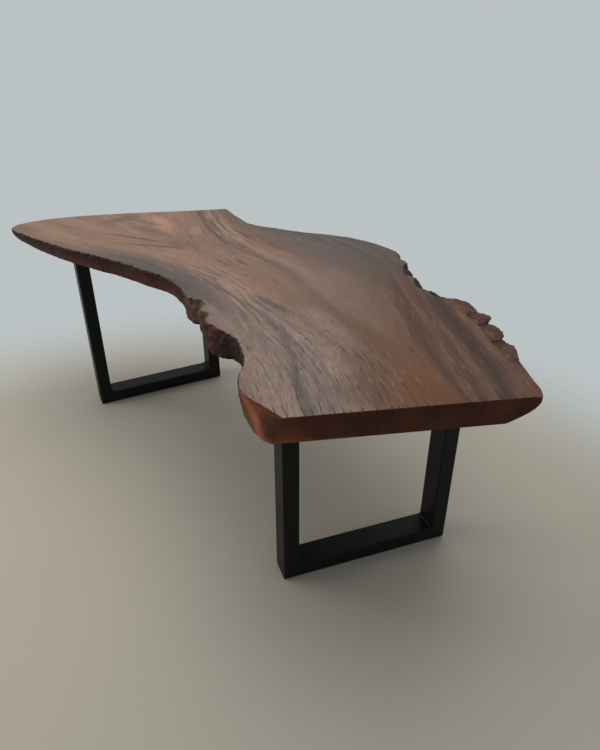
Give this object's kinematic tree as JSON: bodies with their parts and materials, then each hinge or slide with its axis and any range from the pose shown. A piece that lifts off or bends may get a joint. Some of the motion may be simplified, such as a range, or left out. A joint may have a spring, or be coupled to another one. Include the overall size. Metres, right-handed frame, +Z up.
{
  "type": "live edge dining table",
  "caption": "Dining table with a thick bent natural-edge hardwood slab bolted onto welded rectangular-tube steel leg frames.",
  "frame": {"origin": "on the floor, under the middle of the table's box", "axes": "+X along the table from the far leg frame to the near one, +Y to the knobbly back edge, +Z up"},
  "size_m": [2.1498, 1.0441, 0.75],
  "materials": {
    "slab_wood": "satin clear oil on dark figured hardwood",
    "powder_coat": "satin black powder coat",
    "painted_weld": "weld bead under black powder coat",
    "zinc_steel": "zinc plated",
    "insert_steel": "plain turned steel",
    "pad_rubber": "matt rubber"
  },
  "bodies": {
    "root": {"slab_top": "slab_wood", "near_leg_front_upright": "powder_coat", "near_leg_back_upright": "powder_coat", "near_leg_floor_rail": "powder_coat", "near_leg_top_plate": "powder_coat", "near_leg_corner_welds": "painted_weld", "near_leg_plate_welds": "painted_weld", "near_leg_bolts": "zinc_steel", "near_leg_washers": "zinc_steel", "near_leg_inserts": "insert_steel", "near_leg_floor_pads": "pad_rubber", "far_leg_front_upright": "powder_coat", "far_leg_back_upright": "powder_coat", "far_leg_floor_rail": "powder_coat", "far_leg_top_plate": "powder_coat", "far_leg_corner_welds": "painted_weld", "far_leg_plate_welds": "painted_weld", "far_leg_bolts": "zinc_steel", "far_leg_washers": "zinc_steel", "far_leg_inserts": "insert_steel", "far_leg_floor_pads": "pad_rubber"}
  },
  "joints": []
}
